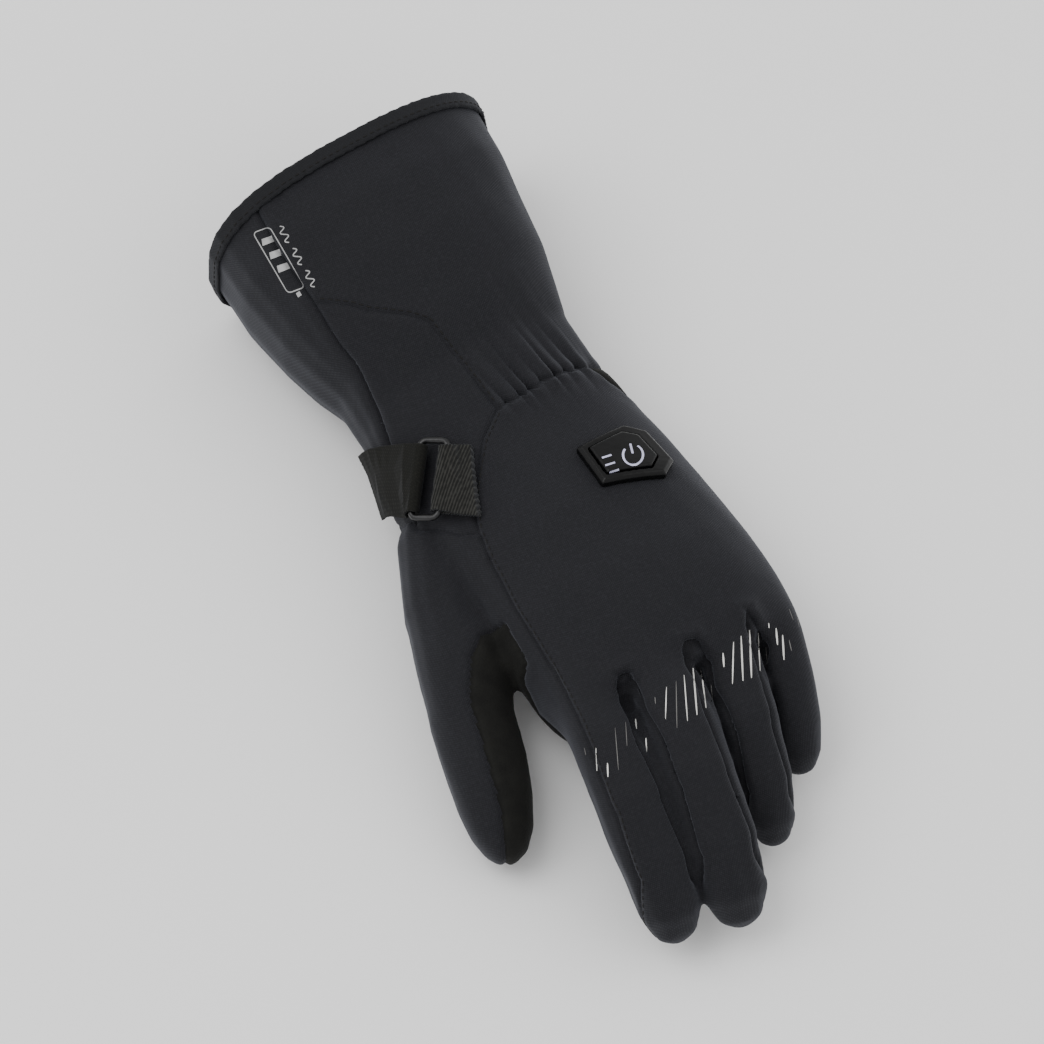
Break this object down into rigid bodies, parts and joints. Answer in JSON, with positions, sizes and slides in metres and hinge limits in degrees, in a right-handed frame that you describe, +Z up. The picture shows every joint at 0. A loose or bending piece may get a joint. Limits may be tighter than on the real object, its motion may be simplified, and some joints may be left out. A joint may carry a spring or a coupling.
{
  "type": "heated glove",
  "caption": "Padded softshell gauntlet glove for the left hand, with a flared cuff, a webbing wrist strap through a wire ring and a rubber heating control on its back.",
  "frame": {"origin": "under the middle of the glove's outline, on the surface that its palm lies on", "axes": "+Z up from the palm to the back of the hand, +Y from the fingertips to the cuff's mouth, +X towards the little finger"},
  "size_m": [0.1398, 0.3357, 0.076],
  "materials": {
    "softshell": "matt, finely woven, charcoal with a faint blue cast",
    "palm_leather": "matt suede-like leather, dark olive grey",
    "binding": "matt folded tape",
    "webbing": "matt close-woven webbing",
    "elastic": "ribbed elastic tape",
    "ring": "satin dark grey wire",
    "rubber": "satin moulded rubber with pale marks"
  },
  "bodies": {
    "root": {"cuff_back": "softshell", "cuff_lower": "softshell", "cuff_side": "softshell", "cuff_palm": "softshell", "hem_binding": "binding", "back_panel": "softshell", "thumb_panel": "softshell", "palm_panel": "palm_leather", "fourchette_index_middle": "softshell", "fourchette_middle_ring": "softshell", "fourchette_ring_little": "softshell", "strap": "webbing", "strap_ring": "ring", "strap_elastic": "elastic", "control_housing": "rubber", "control_key": "rubber"}
  },
  "joints": []
}
